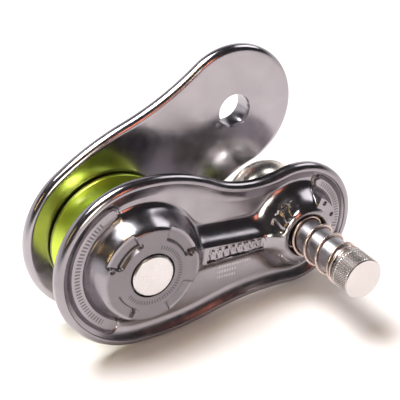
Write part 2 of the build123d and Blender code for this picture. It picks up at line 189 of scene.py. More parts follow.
def makeGrainGroup():
    # cloudy change of tone and roughness, and the faint ripple of a polished forging
    group, given, result = newGroup(
        "forgedGrain", {"Cloud Scale": 60.0, "Ripple Scale": 700.0, "Smear Scale": 200.0},
        ("Cloud", "Ripple", "Smear"))
    place = addNode(group, "ShaderNodeTexCoord")
    for label, detail in (("Cloud", 3), ("Ripple", 2), ("Smear", 4)):
        noise = addNode(group, "ShaderNodeTexNoise")
        noise.inputs["Detail"].default_value = detail
        group.links.new(place.outputs["Object"], noise.inputs["Vector"])
        group.links.new(given[label + " Scale"], noise.inputs["Scale"])
        group.links.new(noise.outputs["Fac"], result[label])
    return group


def makeWearAndShadeGroup():
    # bright worn metal on the sharpest edges, broken up by noise, and painted shade darkening the creases
    group, given, result = newGroup("edgeWearAndShade", {"Start": 0.53, "Break Scale": 300.0}, ("Wear", "Painted Shade"))
    shape = addNode(group, "ShaderNodeNewGeometry")
    place = addNode(group, "ShaderNodeTexCoord")
    noise = addNode(group, "ShaderNodeTexNoise")
    group.links.new(place.outputs["Object"], noise.inputs["Vector"])
    group.links.new(given["Break Scale"], noise.inputs["Scale"])
    past = mathNode(group, "SUBTRACT", shape.outputs["Pointiness"], given["Start"])
    sharp = mathNode(group, "MULTIPLY", past, 14.0, clamp=True)
    group.links.new(mathNode(group, "MULTIPLY", sharp, noise.outputs["Fac"]), result["Wear"])
    # painted shade: hollow places get a darker tone
    below = mathNode(group, "SUBTRACT", 0.475, shape.outputs["Pointiness"])
    group.links.new(mathNode(group, "MULTIPLY", below, 12.0, clamp=True), result["Painted Shade"])
    return group


def flatPlace(group, given):
    # how far along each of the group's two directions a point lies
    place = addNode(group, "ShaderNodeTexCoord")
    flat = []
    for label in ("Along", "Across"):
        dot = addNode(group, "ShaderNodeVectorMath", operation="DOT_PRODUCT")
        group.links.new(place.outputs["Object"], dot.inputs[0])
        group.links.new(given[label], dot.inputs[1])
        flat.append(dot.outputs["Value"])
    return flat


def makeTickGroup():
    # short radial strokes in a ring, in the plane given by the two directions
    group, given, result = newGroup(
        "tickRing", {"Along": (1, 0, 0), "Across": (0, 0, 1), "Centre": 0.0, "Radius": 0.017,
                     "Half Length": 0.0013, "Middle": 0.0, "Half Turn": 3.0, "Count": 10.0}, ("Mask",))
    along, v = flatPlace(group, given)
    u = mathNode(group, "SUBTRACT", along, given["Centre"])
    reach = mathNode(group, "SQRT", mathNode(group, "ADD", mathNode(group, "MULTIPLY", u, u),
                                             mathNode(group, "MULTIPLY", v, v)))
    turn = mathNode(group, "ARCTAN2", v, u)
    band = mathNode(group, "COMPARE", reach, given["Radius"], given["Half Length"])
    turned = mathNode(group, "SUBTRACT", turn, given["Middle"])
    offset = mathNode(group, "WRAP", turned, pi, -pi)
    part = mathNode(group, "LESS_THAN", mathNode(group, "ABSOLUTE", offset),
                    given["Half Turn"])
    stroke = mathNode(group, "FRACT", mathNode(group, "MULTIPLY", offset, given["Count"]))
    mask = mathNode(group, "MULTIPLY", mathNode(group, "MULTIPLY", band, part),
                    mathNode(group, "LESS_THAN", stroke, 0.45))
    group.links.new(mask, result["Mask"])
    return group


def makeDashGroup():
    # rows of small plain dashes marked on the surface
    group, given, result = newGroup(
        "dashRow", {"Along": (1, 0, 0), "Across": (0, 0, 1), "U": 0.05, "V": -0.01, "Half U": 0.01,
                    "Half V": 0.001, "Pitch": 0.002}, ("Mask",))
    u, v = flatPlace(group, given)
    insideU = mathNode(group, "COMPARE", u, given["U"], given["Half U"])
    insideV = mathNode(group, "COMPARE", v, given["V"], given["Half V"])
    dash = mathNode(group, "FRACT", mathNode(group, "DIVIDE", u, given["Pitch"]))
    mask = mathNode(group, "MULTIPLY", mathNode(group, "MULTIPLY", insideU, insideV),
                    mathNode(group, "LESS_THAN", dash, 0.6))
    group.links.new(mask, result["Mask"])
    return group


def makeTurnedGroup():
    # fine rings left by turning, about an axle along Y
    group, given, result = newGroup(
        "turnedRings", {"Centre": (0, 0, 0), "Rings": 2500.0}, ("Height", "Radius"))
    place = addNode(group, "ShaderNodeTexCoord")
    offset = addNode(group, "ShaderNodeVectorMath", operation="SUBTRACT")
    group.links.new(place.outputs["Object"], offset.inputs[0])
    group.links.new(given["Centre"], offset.inputs[1])
    flat = addNode(group, "ShaderNodeVectorMath", operation="MULTIPLY")
    flat.inputs[1].default_value = (1, 0, 1)
    group.links.new(offset.outputs[0], flat.inputs[0])
    length = addNode(group, "ShaderNodeVectorMath", operation="LENGTH")
    group.links.new(flat.outputs[0], length.inputs[0])
    scaled = mathNode(group, "MULTIPLY", length.outputs["Value"], given["Rings"])
    noise = addNode(group, "ShaderNodeTexNoise", noise_dimensions="1D")
    noise.inputs["Scale"].default_value = 1.0
    noise.inputs["Detail"].default_value = 2
    group.links.new(scaled, noise.inputs["W"])
    group.links.new(noise.outputs["Fac"], result["Height"])
    group.links.new(length.outputs["Value"], result["Radius"])
    return group


grainGroup = makeGrainGroup()
wearAndShadeGroup = makeWearAndShadeGroup()
turnedGroup = makeTurnedGroup()
tickGroup = makeTickGroup()
dashGroup = makeDashGroup()


def groupNode(tree, group, **values):
    node = tree.nodes.new("ShaderNodeGroup")
    node.node_tree = group
    for label, value in values.items():
        node.inputs[label.replace("_", " ")].default_value = value
    return node


def newMaterial(name, **values):
    material = bpy.data.materials.new(name)
    material.use_nodes = True
    shader = material.node_tree.nodes["Principled BSDF"]
    for label, value in values.items():
        shader.inputs[label.replace("_", " ")].default_value = value
    return material, material.node_tree, shader


def mixColours(tree, mask, first, second):
    # a colour is a socket or three numbers
    mix = addNode(tree, "ShaderNodeMix", data_type="RGBA")
    for socket, value in zip((mix.inputs["Factor"], mix.inputs[6], mix.inputs[7]), (mask, first, second)):
        if isinstance(value, tuple):
            socket.default_value = (*value, 1)
        else:
            tree.links.new(value, socket)
    return mix.outputs[2]


def mapRange(tree, value, low, high):
    node = addNode(tree, "ShaderNodeMapRange")
    node.inputs["From Min"].default_value = 0.3
    node.inputs["From Max"].default_value = 0.7
    node.inputs["To Min"].default_value = low
    node.inputs["To Max"].default_value = high
    tree.links.new(value, node.inputs["Value"])
    return node.outputs[0]


def cloudTone(tree, grain, light, dark):
    return mixColours(tree, mapRange(tree, grain.outputs["Cloud"], 0, 1), dark, light)


def addBump(tree, shader, height, distance):
    bump = addNode(tree, "ShaderNodeBump")
    bump.inputs["Distance"].default_value = distance
    tree.links.new(height, bump.inputs["Height"])
    tree.links.new(bump.outputs[0], shader.inputs["Normal"])


# plain strokes and dashes of the front forging: millimetres, then angles in degrees
markForm = {
    # the boss face gets a darker tone, which is painted shade, and more roughness for its satin finish
    "satinR": 28.0, "satinEase": 700.0, "faceShadeScale": 0.62, "faceShadeMix": 0.8, "satinRough": 0.14,
    # the cut strokes are darkened with painted shade in their recess; their depth is a bump
    "cutShadeMix": 0.85, "cutDepth": 0.0003,
    "etchTone": (0.80, 0.77, 0.78), "etchMix": 0.45, "etchRough": 0.25,
    # each ring of strokes: centre, radius, half length, middle, half turn, count
    "rings": ((0.0, 16.9, 1.15, -37, 112, 10.5), (0.0, 38.7, 1.5, 180, 52, 19.0),
              (100.0, 28.9, 1.5, 22, 36, 16.0)),
    # each row of dashes: u, v, half length, half height, pitch
    "rows": ((61.0, -16.5, 11.0, 0.8, 1.7), (56.5, -19.9, 6.5, 0.8, 1.7), (56.0, -23.3, 6.0, 0.8, 1.7)),
}


def metalMaterial(name, light, dark, worn, rough, ripple, wearStart=0.56, coat=0.0, rings=None,
                  shadeInCreases=0.35, marks=None):
    # a metal with cloudy tone, uneven gloss, bright worn edges and painted shade in the creases
    material, tree, shader = newMaterial(name, Metallic=1.0, Coat_Weight=coat, Coat_Roughness=0.12)
    grain = groupNode(tree, grainGroup)
    wearAndShade = groupNode(tree, wearAndShadeGroup, Start=wearStart)
    tone = cloudTone(tree, grain, light, dark)
    # painted shade: this darker tone goes into creases and cut strokes
    paintedCreaseShade = tuple(value * shadeInCreases for value in dark)
    tone = mixColours(tree, wearAndShade.outputs["Painted Shade"], tone, paintedCreaseShade)
    colour = mixColours(tree, wearAndShade.outputs["Wear"], tone, worn)
    roughness = mapRange(tree, grain.outputs["Smear"], *rough)
    height, distance = grain.outputs["Ripple"], ripple
    if rings:
        turned = groupNode(tree, turnedGroup, Centre=rings[0], Rings=rings[1])
        height, distance = turned.outputs["Height"], rings[2]
    if marks:
        cut, etched, satinFaceAndShade = marks(tree)
        # painted shade for the boss face
        shade = tuple(value * markForm["faceShadeScale"] for value in dark)
        for mask, share, tone in ((satinFaceAndShade, "faceShadeMix", shade), (cut, "cutShadeMix", paintedCreaseShade),
                                  (etched, "etchMix", markForm["etchTone"])):
            colour = mixColours(tree, mathNode(tree, "MULTIPLY", mask, markForm[share]), colour, tone)
        for mask, gain in ((satinFaceAndShade, "satinRough"), (etched, "etchRough")):
            roughness = mathNode(tree, "ADD", roughness, mathNode(tree, "MULTIPLY", mask, markForm[gain]))
        distance = markForm["cutDepth"]
        height = mathNode(tree, "SUBTRACT", mathNode(tree, "MULTIPLY", height, ripple / distance), cut)
    tree.links.new(colour, shader.inputs["Base Color"])
    tree.links.new(roughness, shader.inputs["Roughness"])
    addBump(tree, shader, height, distance)
    return material


def frontMarkMasks(tree):
    # masks of the cut strokes, the etched dashes and the satin boss face, whose darker tone is painted shade
    along, across = (cos(tilt), 0, -sin(tilt)), (sin(tilt), 0, cos(tilt))
    cut = etched = 0.0
    within = mathNode(tree, "SUBTRACT", markForm["satinR"] * mm, groupNode(tree, turnedGroup).outputs["Radius"])
    satinFaceAndShade = mathNode(tree, "MULTIPLY", within, markForm["satinEase"], clamp=True)
    for centre, radius, half, middle, turn, count in markForm["rings"]:
        ring = groupNode(tree, tickGroup, Along=along, Across=across, Centre=centre * mm,
                         Radius=radius * mm, Half_Length=half * mm, Middle=radians(middle),
                         Half_Turn=radians(turn), Count=count)
        cut = mathNode(tree, "MAXIMUM", ring.outputs["Mask"], cut)
    for u, v, halfU, halfV, pitch in markForm["rows"]:
        row = groupNode(tree, dashGroup, Along=along, Across=across, U=u * mm, V=v * mm,
                        Half_U=halfU * mm, Half_V=halfV * mm, Pitch=pitch * mm)
        etched = mathNode(tree, "MAXIMUM", row.outputs["Mask"], etched)
    return cut, etched, satinFaceAndShade


print("stage: materials")
sheaveCentre = (0, 0, 0)
pinCentre = (pinPoint.x, 0, pinPoint.z)
cheekMetal = metalMaterial("polishedForging", (0.41, 0.39, 0.42), (0.36, 0.342, 0.37),
                           (0.62, 0.58, 0.60), (0.15, 0.22), 0.000006, wearStart=0.60)
# the front forging: the same metal as the rear one but darker, which is painted shade, and with the marks
markedShadedMetal = metalMaterial("markedShadedForging", (0.355, 0.335, 0.362), (0.285, 0.268, 0.292),
                            (0.62, 0.58, 0.60), (0.16, 0.24), 0.000008, wearStart=0.60, marks=frontMarkMasks)
limeMetal = metalMaterial("limeAnodised", (0.64, 0.82, 0.07), (0.57, 0.76, 0.05),
                          (0.80, 0.90, 0.36), (0.32, 0.34), 0.0000003, wearStart=0.70, coat=1.0, shadeInCreases=1.0)
axleMetal = metalMaterial("turnedAxle", (0.66, 0.64, 0.645), (0.60, 0.58, 0.585),
                          (0.78, 0.76, 0.76), (0.26, 0.34), 0.00001,
                          rings=(sheaveCentre, 1900.0, 0.00002))
pinMetal = metalMaterial("polishedPin", (0.46, 0.44, 0.47), (0.40, 0.385, 0.41),
                         (0.75, 0.74, 0.75), (0.30, 0.36), 0.0000008, shadeInCreases=0.8)
springMetal = metalMaterial("springWire", (0.66, 0.55, 0.50), (0.54, 0.43, 0.38),
                            (0.80, 0.74, 0.70), (0.22, 0.34), 0.00001)
bushMetal = metalMaterial("polishedBush", (0.86, 0.83, 0.78), (0.80, 0.77, 0.72),
                          (0.93, 0.92, 0.90), (0.24, 0.32), 0.000006,
                          rings=(pinCentre, 2100.0, 0.000004))
bearingMetal = metalMaterial("groundSteel", (0.62, 0.61, 0.60), (0.52, 0.51, 0.50),
                             (0.78, 0.77, 0.76), (0.20, 0.32), 0.00001,
                             rings=(sheaveCentre, 2200.0, 0.00002))
bronzeMetal = metalMaterial("turnedBronze", (0.68, 0.46, 0.22), (0.56, 0.36, 0.17),
                            (0.80, 0.62, 0.36), (0.24, 0.38), 0.00001,
                            rings=(sheaveCentre, 1800.0, 0.00002))


# painted shade in the knurl grooves: radii in metres, then places on the way out and how dark they are
knurlPaintedShade = {"from": 0.0112, "to": 0.0121,
              "stops": ((0.0, 0.0), (0.20, 0.0), (0.30, 1.0), (0.52, 0.8), (0.78, 0.0))}


def knobMaterial(name, light, dark, grooveShadeTone):
    # satin steel with painted shade in the knurl grooves: the shade follows the distance from the pin's line
    material, tree, shader = newMaterial(name, Metallic=1.0)
    grain = groupNode(tree, grainGroup)
    turned = groupNode(tree, turnedGroup, Centre=pinCentre, Rings=1700.0)
    tone = cloudTone(tree, grain, light, dark)
    ramp = addNode(tree, "ShaderNodeValToRGB")
    while len(ramp.color_ramp.elements) < len(knurlPaintedShade["stops"]):
        ramp.color_ramp.elements.new(0.5)
    for element, (where, value) in zip(ramp.color_ramp.elements, knurlPaintedShade["stops"]):
        element.position = where
        element.color = (value, value, value, 1)
    span = addNode(tree, "ShaderNodeMapRange")
    span.inputs["From Min"].default_value = knurlPaintedShade["from"]
    span.inputs["From Max"].default_value = knurlPaintedShade["to"]
    tree.links.new(turned.outputs["Radius"], span.inputs["Value"])
    tree.links.new(span.outputs[0], ramp.inputs[0])
    tree.links.new(mixColours(tree, ramp.outputs[0], tone, grooveShadeTone), shader.inputs["Base Color"])
    tree.links.new(mapRange(tree, grain.outputs["Smear"], 0.28, 0.36), shader.inputs["Roughness"])
    addBump(tree, shader, turned.outputs["Height"], 0.00001)
    return material


knobMetal = knobMaterial("knurledKnob", (0.68, 0.65, 0.645), (0.61, 0.585, 0.58), (0.44, 0.39, 0.37))


def mouldedMaterial(name, light, dark, rough, bump):
    # plastic or rubber with a faint grain
    material, tree, shader = newMaterial(name)
    grain = groupNode(tree, grainGroup, Cloud_Scale=120.0, Ripple_Scale=1500.0)
    tree.links.new(cloudTone(tree, grain, light, dark), shader.inputs["Base Color"])
    tree.links.new(mapRange(tree, grain.outputs["Smear"], *rough), shader.inputs["Roughness"])
    addBump(tree, shader, grain.outputs["Ripple"], bump)
    return material


sealRubber = mouldedMaterial("sealRubber", (0.035, 0.034, 0.034), (0.022, 0.021, 0.021),
                             (0.55, 0.75), 0.00003)
cagePlastic = mouldedMaterial("cagePlastic", (0.11, 0.11, 0.12), (0.08, 0.08, 0.085),
                              (0.35, 0.5), 0.00002)
washerPlastic = mouldedMaterial("washerPlastic", (0.82, 0.80, 0.74), (0.74, 0.72, 0.66),
                                (0.4, 0.55), 0.00002)


# two forgings of one shape, the rear one turned over
# u runs from axle to pin, v across, and heights stand on the inner face
cheekForm = {
    "axleToPin": 100.0, "sheaveLobe": 51.35, "pinLobe": 39.2,
    "waistedEdge": (95.6, 86.7, 60.0),       # lobe ends at this angle, flank radius, waist radius
    "straightEdge": (90.4, 172.0, 164.0),
    "thickness": 8.24, "rimRound": 3.7, "floor": 4.24, "floorRound": 2.4,
    "beadW": 1.0, "beadDrop": 0.95, "wallSlope": 0.56, "rimDepth": 11.5,
    "sheaveTop": 19.24, "sheaveTopR": 28.0, "sheaveSlope": 2.14, "sheaveRound": 3.8,
    "frontPinRise": 12.0, "rearPinRise": 5.0, "pinTopR": 17.0, "pinFootR": 27.0, "pinRound": 6.5,
    "neckTop": 14.54, "neckSlope": 1.58, "neckRound": 3.0, "neckFrom": 30.0, "neckTo": 74.0, "neckDrop": 1.5,
    "neckUp": (6.5, 3.6), "neckDown": (6.5, 5.1), "neckEnds": (25, 15), "neckEndSlope": 1.3,
    "union": 12.0, "footRound": 6.5,
    "arcSteps": (150, 116), "innerRows": 56, "neckSteps": 150, "boreSteps": 22,
}


def smoothMax(a, b, k):
    # the larger of two heights, with the corner between them rounded over k
    near = np.clip(k - np.abs(a - b), 0, None) / k
    return np.maximum(a, b) + near * near * k / 4


def smoothMin(a, b, k):
    return -smoothMax(-a, -b, k)


def inside(distance, width):
    # 1 within an outline, 0 outside, eased over width; distance is negative inside
    t = np.clip(0.5 - distance / width, 0, 1)
    return t * t * (3 - 2 * t)


def polar(u, v, centre):
    return np.hypot(u - centre, v), np.degrees(np.arctan2(v, u - centre))


def angleFrom(angle, middle):
    return np.abs((angle - middle + 180) % 360 - 180)


def roundDistance(u, v, centre, radius, angle, size):
    x, y = pointAt(radius, angle, centre)
    return np.hypot(u - x, v - y) - size


def slotDistance(u, v, centre, radius, width, start, end):
    # signed distance to a banana-shaped slot with round ends
    r, a = polar(u, v, centre)
    half = (end - start) / 2
    within = angleFrom(a, start + half) <= half
    across = np.abs(r - radius)
    ends = [roundDistance(u, v, centre, radius, angle, 0) for angle in (start, end)]
    return np.where(within, across, np.minimum(*ends)) - width / 2


def segmentDistance(u, v, a, b):
    dx, dy = b[0] - a[0], b[1] - a[1]
    t = np.clip(((u - a[0]) * dx + (v - a[1]) * dy) / (dx * dx + dy * dy), 0, 1)
    return np.hypot(u - a[0] - t * dx, v - a[1] - t * dy)


def sectorDistance(u, v, centre, innerR, outerR, start, end):
    r, a = polar(u, v, centre)
    half = (end - start) / 2
    beyond = (angleFrom(a, start + half) - half) * np.pi / 180 * r
    return np.maximum(np.maximum(innerR - r, r - outerR), beyond)


def polygonDistance(u, v, corners):
    # corners in either order; convex outlines only
    area = sum(a[0] * b[1] - b[0] * a[1] for a, b in zip(corners, corners[1:] + corners[:1]))
    if area < 0:
        corners = corners[::-1]
    far = np.full(np.shape(u), -1e9)
    for (ax, ay), (bx, by) in zip(corners, corners[1:] + corners[:1]):
        length = hypot(bx - ax, by - ay)
        far = np.maximum(far, ((u - ax) * (by - ay) - (v - ay) * (bx - ax)) / length)
    return far


def edgeLine(form, edge):
    # points and inward normals of one long edge, from the sheave's far end to the pin's
    lobeEnd, flankR, waistR = radians(edge[0]), edge[1], edge[2]
    span, bigR, smallR = form["axleToPin"], form["sheaveLobe"], form["pinLobe"]
    flankX, flankV = (bigR - flankR) * cos(lobeEnd), (bigR - flankR) * sin(lobeEnd)
    reach, pinReach = flankR + waistR, smallR + waistR
    between = hypot(span - flankX, flankV)
    lean = atan2(-flankV, span - flankX)
    flankTurn = lean + acos((reach ** 2 + between ** 2 - pinReach ** 2) / (2 * reach * between))
    waistX, waistV = flankX + reach * cos(flankTurn), flankV + reach * sin(flankTurn)
    pinTurn = atan2(waistV, waistX - span)
    arcs = ((0, 0, bigR, pi, lobeEnd, -1), (flankX, flankV, flankR, lobeEnd, flankTurn, -1),
            (waistX, waistV, waistR, flankTurn + pi, pinTurn + pi, 1), (span, 0, smallR, pinTurn, 0, -1))
    line = []
    for x, v, radius, start, end, inward in arcs:
        for angle in np.linspace(start, end, 240):
            line.append((x + radius * cos(angle), v + radius * sin(angle),
                         inward * cos(angle), inward * sin(angle)))
    return np.array(line)


def columnsOf(form, edge, sheavePath, pinPath):
    # one half of the cheek: where each column starts on the edge, and where it ends inside
    line = edgeLine(form, edge)
    span = form["axleToPin"]
    order = np.arange(len(line))
    fromSheave = -np.unwrap(np.arctan2(line[:, 1], line[:, 0]))
    fromPin = -np.unwrap(np.arctan2(line[:, 1], line[:, 0] - span))
    sheaveR, pinR = sheavePath[0][1], pinPath[-1][1]
    columns = []

    def add(where, keys, q):
        i = np.interp(where, keys, order)
        columns.append([np.interp(i, order, line[:, k]) for k in range(4)] + list(q))

    for a in np.linspace(pi, pi / 2, form["arcSteps"][0], endpoint=False):
        add(-a, fromSheave, (sheaveR * cos(a), sheaveR * sin(a)))
    middle = np.linspace(sheavePath[-1][0], pinPath[0][0], form["neckSteps"])[1:-1]
    for u, v in list(sheavePath) + [(u, 0) for u in middle] + list(pinPath):
        add(u, line[:, 0], (u, v))
    for a in np.linspace(pi / 2, 0, form["arcSteps"][1])[1:]:
        add(-a, fromPin, (span + pinR * cos(a), pinR * sin(a)))
    return np.array(columns), len(sheavePath), len(pinPath)


def quarterPath(centre, radius, steps, towards):
    # bore outline between its crown and the neck's middle line
    points = [(centre + towards * radius * sin(a), radius * cos(a))
              for a in np.linspace(0, pi / 2, steps)]
    points[-1] = (centre + towards * radius, 0)
    return points


def quadsBetween(first, second):
    # quads that join two closed rows of point numbers; a quad whose corners meet becomes a triangle
    quads = zip(first, np.roll(first, -1), np.roll(second, -1), second)
    corners = [list(dict.fromkeys(int(number) for number in quad)) for quad in quads]
    return [quad for quad in corners if len(quad) > 2]


def makeCheek(name, form, sheavePath, pinPath, sheaveSteps, pinSteps, heightOf, place):
    upper, sheaveCount, pinCount = columnsOf(form, form["waistedEdge"], sheavePath, pinPath)
    lower = columnsOf(form, form["straightEdge"], sheavePath, pinPath)[0][1:-1][::-1].copy()
    lower[:, (1, 3, 5)] *= -1
    columns = np.vstack([upper, lower])
    count, half = len(columns), len(upper)
    edgeP, normal, inner = columns[:, 0:2], columns[:, 2:4], columns[:, 4:6]
    rim, t = form["rimRound"], form["thickness"]
    rows = []

    def addRow(flat, height):
        rows.append(np.column_stack([flat, np.broadcast_to(height, count)]))

    # flat inner face, rounded rim, then the worked outer face
    support = edgeP + normal * (rim + 0.8)
    for f in (0, 0.35, 0.7, 1):
        addRow(inner + (support - inner) * f, 0)
    for a in np.linspace(-90, 0, 9):
        addRow(edgeP + normal * (rim - rim * cos(radians(a))), rim + rim * sin(radians(a)))
    for a in np.linspace(0, 90, 13):
        addRow(edgeP + normal * (rim - rim * cos(radians(a))), t - rim + rim * sin(radians(a)))
    depths = np.concatenate([np.linspace(rim, rim + form["beadW"], 7)[1:],
                             np.linspace(rim + form["beadW"] + 0.25, form["rimDepth"], 20)])
    for depth in depths:
        flat = edgeP + normal * depth
        addRow(flat, heightOf(form, flat[:, 0], flat[:, 1], depth))
    start = edgeP + normal * form["rimDepth"]
    for f in np.linspace(0, 1, form["innerRows"] + 1)[1:]:
        flat = start + (inner - start) * f
        addRow(flat, heightOf(form, flat[:, 0], flat[:, 1], form["rimDepth"]))
    points = np.vstack(rows)
    faces = []
    top = len(rows) - 1

    # both halves share the points on the neck's middle line
    index = np.arange(len(points)).reshape(len(rows), count)
    onLine = [i for i in range(1, half - 1) if inner[i, 1] == 0]
    for row in (0, top):
        for i in onLine:
            index[row, count - i] = index[row, i]
    for r in range(top):
        faces += quadsBetween(index[r], index[r + 1])

    # walls of the two bores, from the outer face to the inner one
    arcA, arcB = form["arcSteps"]
    sheaveRing = list(range(count - arcA - sheaveCount + 1, count)) + list(range(arcA + sheaveCount - 1))
    firstB = half - arcB - pinCount + 1
    pinRing = list(range(firstB, count - firstB))
    for ringColumns, centre, openR, steps in ((sheaveRing, 0, sheavePath[0][1], sheaveSteps),
                                              (pinRing, form["axleToPin"], pinPath[-1][1], pinSteps)):
        previous = index[top, ringColumns]
        for radius, height in steps:
            scale = radius / openR
            ringPoints = [(centre + (inner[i, 0] - centre) * scale, inner[i, 1] * scale, height)
                          for i in ringColumns]
            current = np.arange(len(ringColumns)) + len(points)
            points = np.vstack([points, ringPoints])
            faces += quadsBetween(previous, current)
            previous = current
        faces += quadsBetween(previous, index[0, ringColumns])

    piece = meshObject(name, points * mm, (), faces)
    piece.data.transform(place)
    outwardNormals(piece, 2e-6)
    smoothByAngle(piece, 38)
    return piece


def forgedHeight(form, u, v, depth, pinTop):
    # height above the inner face of the plain forging: rim, hollow, bosses and neck
    span, t = form["axleToPin"], form["thickness"]
    past = np.clip((depth - form["rimRound"]) / form["beadW"], 0, 1)
    bead = t - form["beadDrop"] * (1 - np.sqrt(1 - past ** 2))
    wall = t - form["beadDrop"] - (depth - form["rimRound"] - form["beadW"]) * form["wallSlope"]
    base = bead if past < 1 else smoothMax(wall, form["floor"], form["floorRound"])
    rA, rB = np.hypot(u, v), np.hypot(u - span, v)
    sheaveFlank = form["sheaveTop"] - (rA - form["sheaveTopR"]) * form["sheaveSlope"]
    sheaveBoss = smoothMin(form["sheaveTop"], sheaveFlank, form["sheaveRound"])
    pinSlope = (pinTop - form["floor"]) / (form["pinFootR"] - form["pinTopR"])
    pinBoss = smoothMin(pinTop, pinTop - (rB - form["pinTopR"]) * pinSlope, form["pinRound"])
    along = np.clip((u - form["neckFrom"]) / (form["neckTo"] - form["neckFrom"]), 0, 1)
    up, down = (wide + (narrow - wide) * along for wide, narrow in (form["neckUp"], form["neckDown"]))
    outside = np.maximum(v - up, -v - down)
    neckTop = min(form["neckTop"], pinTop - form["neckDrop"])
    neck = smoothMin(neckTop, neckTop - outside * form["neckSlope"], form["neckRound"])
    endA, endB = form["neckEnds"]
    ends = smoothMin(neckTop + form["neckEndSlope"] * (u - endA),
                     neckTop + form["neckEndSlope"] * (span - endB - u), 1)
    neck = smoothMin(neck, ends, 2)
    bosses = smoothMin(smoothMax(sheaveBoss, neck, form["union"]), form["sheaveTop"] + 0.2, 0.8)
    bosses = smoothMin(smoothMax(bosses, pinBoss, form["union"]), pinTop + 0.2, 0.8)
    return smoothMax(bosses, base, form["footRound"])


frontMarks = {
    # pads and slots: radius, width, from, to, and a pad's height; angles in degrees
    "sheavePad": (38.7, 7.0, 118, 242, 6.4), "pinPad": (28.9, 5.6, -20, 60, 7.2),
    "padEdge": 0.8, "padGap": 1.5, "padSink": 0.9,
    "pockets": ((20, 67), (113, 158), (-157, -118), (-66, -24)),
    "pocketR": 21.3, "pocketDepth": 2.1, "pocketEdge": 1.3,
    "trench": (20.8, 2.6, 117, 153), "trenchDepth": 2.0,
    "dimples": ((25.0, 19, 1.5), (20.9, 110, 1.1), (25.4, 161, 1.2)), "dimpleDepth": 1.4,
    "arrow": (22.7, -117, 1.7), "arrowDepth": 0.8,
    "plate": ((38.4, 3.4), (74.8, 2.1), (73.9, -4.4), (36.5, -4.6)), "plateDepth": 1.2,
    "bars": 8, "barMargin": 3, "barCorners": ((-1.9, 2.0), (0.1, 2.0), (-0.9, -3.4), (-2.9, -3.4)),
    "fin": (41, 29, 15.6, ((12, 20.2), (36, 21.8), (70, 23.8))), "finTop": 18.7,
    "finHoles": ((20.8, 58, 1.1), (19.0, 30, 1.0)), "finHoleDepth": 1.6,
    "grip": (19.6, 4.8, 114, 158), "gripDepth": 1.2,
    "ribs": (122, 136, 150), "ribR": (17.4, 21.6), "ribLean": (4, -4), "ribW": 1.5,
    "bar": (20.0, 3.0, -142, -98), "barH": 1.3,
}


def arrowCorners(radius, angle, size):
    # small triangle that points outward: tip first, then the two corners of its base
    out = np.array(pointAt(1, angle))
    side = np.array((-out[1], out[0]))
    return [tuple(out * (radius + size * ahead) + side * size * aside)
            for ahead, aside in ((1, 0), (-0.6, 1), (-0.6, -1))]


def frontHeight(form, u, v, depth):
    marks, span = frontMarks, form["axleToPin"]
    h = forgedHeight(form, u, v, depth, form["thickness"] + form["frontPinRise"])
    for label, centre in (("sheavePad", 0), ("pinPad", span)):
        # a raised pad with a shallow channel all round it
        radius, width, start, end, top = marks[label]
        away = slotDistance(u, v, centre, radius, width, start, end)
        h = h - marks["padSink"] * inside(np.abs(away) - marks["padGap"], 1.6)
        h = h + (smoothMax(h, top, 0.6) - h) * inside(away, marks["padEdge"])
    for start, end in marks["pockets"]:
        cut = inside(sectorDistance(u, v, 0, marks["pocketR"], 40, start, end), marks["pocketEdge"])
        h = h + (np.minimum(h, form["sheaveTop"] - marks["pocketDepth"]) - h) * cut
    radius, width, start, end = marks["trench"]
    h = h - marks["trenchDepth"] * inside(slotDistance(u, v, 0, radius, width, start, end), 0.9)
    for radius, angle, size in marks["dimples"]:
        h = h - marks["dimpleDepth"] * inside(roundDistance(u, v, 0, radius, angle, size), 0.9)
    h = h - marks["arrowDepth"] * inside(polygonDistance(u, v, arrowCorners(*marks["arrow"])), 0.5)
    # slanted bars stand on the sunk plate
    h = h - marks["plateDepth"] * inside(polygonDistance(u, v, list(marks["plate"])), 0.7)
    first, last = marks["plate"][0][0] + marks["barMargin"], marks["plate"][1][0] - marks["barMargin"]
    for i in range(marks["bars"]):
        x = first + (last - first) * i / (marks["bars"] - 1)
        bar = [(x + du, dv) for du, dv in marks["barCorners"]]
        h = h + marks["plateDepth"] * inside(polygonDistance(u, v, bar), 0.6)
    # pointer, grip ribs and bar round the pin
    radius, angle = polar(u, v, span)
    middle, half, innerR, outline = marks["fin"]
    outerR = np.interp(angle, [a for a, _ in outline], [r for _, r in outline])
    finDistance = np.maximum(np.maximum(radius - outerR, innerR - radius),
                             np.radians(angleFrom(angle, middle) - half) * radius)
    fin = inside(finDistance, 0.6)
    h = h + (np.maximum(h, marks["finTop"]) - h) * fin
    for holeR, holeAngle, size in marks["finHoles"]:
        hole = inside(roundDistance(u, v, span, holeR, holeAngle, size), 0.7)
        h = h - marks["finHoleDepth"] * hole * fin
    # a round-ended recess with short slanted ribs left standing in it
    radius, width, start, end = marks["grip"]
    recess = inside(slotDistance(u, v, span, radius, width, start, end), 0.8)
    for ribAngle in marks["ribs"]:
        ends = [pointAt(r, ribAngle + lean, span) for r, lean in zip(marks["ribR"], marks["ribLean"])]
        recess = np.minimum(recess, 1 - inside(segmentDistance(u, v, *ends) - marks["ribW"] / 2, 0.8))
    h = h - marks["gripDepth"] * recess
    radius, width, start, end = marks["bar"]
    h = h + marks["barH"] * inside(slotDistance(u, v, span, radius, width, start, end), 0.9)
    return h


def rearHeight(form, u, v, depth):
    return forgedHeight(form, u, v, depth, form["thickness"] + form["rearPinRise"])


def cheekPlace(angle, faceY, outward):
    # turns u along the cheek and height away from the sheave, and moves the flat face to faceY
    along, out = Vector((cos(angle), 0, sin(angle))), Vector((0, outward, 0))
    across = out.cross(along)
    return Matrix(((along.x, across.x, out.x, 0), (along.y, across.y, out.y, faceY),
                   (along.z, across.z, out.z, 0), (0, 0, 0, 1)))


